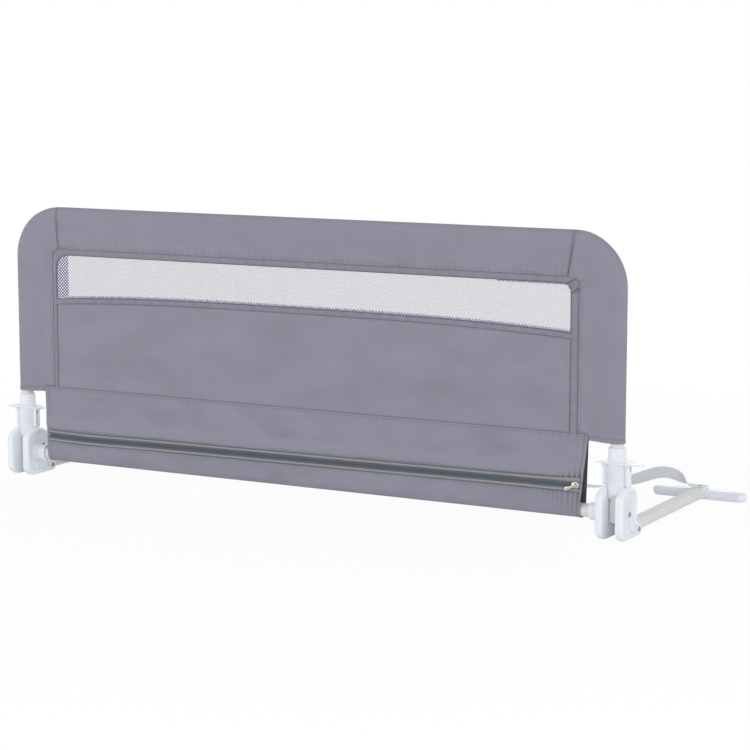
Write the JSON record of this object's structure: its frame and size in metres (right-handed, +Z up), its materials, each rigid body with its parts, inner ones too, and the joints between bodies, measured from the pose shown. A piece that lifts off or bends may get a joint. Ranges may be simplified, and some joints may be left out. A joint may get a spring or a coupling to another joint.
{
  "type": "folding bed guard rail",
  "caption": "Folding bed guard rail: fabric panel with a mesh window on a bent tube frame that swings down on floor clamps, with fold-away legs and a webbing strap.",
  "frame": {"origin": "floor point under the middle of the footprint", "axes": "+X along the rail to the right seen from the zip side, +Y back under the mattress, +Z up"},
  "size_m": [1.33, 0.4206, 0.4889],
  "materials": {
    "clamp_plastic": "satin pale blue-white moulding",
    "latch_plastic": "satin white moulding",
    "foot_plastic": "soft matt white moulding",
    "plug_plastic": "matt",
    "tube_paint": "cream powder coat",
    "leg_paint": "cream powder coat",
    "steel": "plated",
    "cloth": "plain woven lavender-grey cloth",
    "binding": "woven binding tape",
    "net": "open knitted net",
    "webbing": "smooth woven webbing",
    "zip_tape": "woven tape",
    "zip_coil": "wound nylon",
    "zip_metal": "plated, pale gold"
  },
  "bodies": {
    "base": {"bottom_tube": "tube_paint", "left_inner_lobe": "clamp_plastic", "left_outer_lobe": "clamp_plastic", "left_pivot_rivet": "steel", "left_leg_rivet": "steel", "left_tube_screw": "steel", "right_inner_lobe": "clamp_plastic", "right_outer_lobe": "clamp_plastic", "right_pivot_rivet": "steel", "right_leg_rivet": "steel", "right_tube_screw": "steel"},
    "swing_frame": {"top_tube": "tube_paint", "top_sleeve": "cloth", "centre_panel": "cloth", "window_net": "net", "top_binding": "binding", "bottom_binding": "binding", "right_binding": "binding", "lower_band": "cloth", "zip_tape_upper": "zip_tape", "zip_tape_lower": "zip_tape", "zip_coil": "zip_coil", "left_corner_tube": "tube_paint", "left_post_plug": "plug_plastic", "left_stop_ring": "steel", "left_latch_spring": "steel", "left_side_sleeve": "cloth", "right_corner_tube": "tube_paint", "right_post_plug": "plug_plastic", "right_stop_ring": "steel", "right_latch_spring": "steel", "right_side_sleeve": "cloth"},
    "latch_left": {"left_latch_sleeve": "latch_plastic"},
    "latch_right": {"right_latch_sleeve": "latch_plastic"},
    "leg_left": {"left_leg_tube": "leg_paint", "left_foot": "foot_plastic", "left_foot_pin": "steel", "left_strap_rivet": "foot_plastic"},
    "leg_right": {"right_leg_tube": "leg_paint", "right_foot": "foot_plastic", "right_foot_pin": "steel", "right_strap_rivet": "foot_plastic", "strap": "webbing"},
    "slider": {"zip_slider": "zip_metal"},
    "pull": {"zip_pull": "zip_metal"}
  },
  "joints": [
    {"name": "rail_swing", "type": "hinge", "parent": "base", "child": "swing_frame", "pos_m": [0, -0.17625, 0.041], "axis": [1, 0, 0], "range_deg": [0, 180]},
    {"name": "latch_left_lift", "type": "slide", "parent": "swing_frame", "child": "latch_left", "axis": [0, 0, 1], "range_m": [0, 0.006], "stiffness_N_per_m": 400, "springref_m": -0.01, "deforming": ["left_latch_spring"]},
    {"name": "latch_right_lift", "type": "slide", "parent": "swing_frame", "child": "latch_right", "axis": [0, 0, 1], "range_m": [0, 0.006], "stiffness_N_per_m": 400, "springref_m": -0.01, "deforming": ["right_latch_spring"]},
    {"name": "leg_fold_right", "type": "hinge", "parent": "base", "child": "leg_right", "pos_m": [0.58, -0.13425, 0.01005], "axis": [1, 0, 0], "range_deg": [0, 90], "deforming": ["strap"]},
    {"name": "leg_fold_left", "type": "hinge", "parent": "base", "child": "leg_left", "pos_m": [-0.58, -0.13425, 0.01005], "axis": [1, 0, 0], "range_deg": [0, 90]},
    {"name": "zip_slide", "type": "slide", "parent": "swing_frame", "child": "slider", "axis": [-1, -0.0006, -0.0067], "range_m": [0, 1.02]},
    {"name": "zip_pull_flip", "type": "hinge", "parent": "slider", "child": "pull", "pos_m": [0.513, -0.18948, 0.08186], "axis": [-0.4287, 0.0838, 0.8996], "range_deg": [0, 170]}
  ],
  "couplings": [
    {"joint": "leg_fold_left", "follows": "leg_fold_right", "ratio": 1}
  ]
}
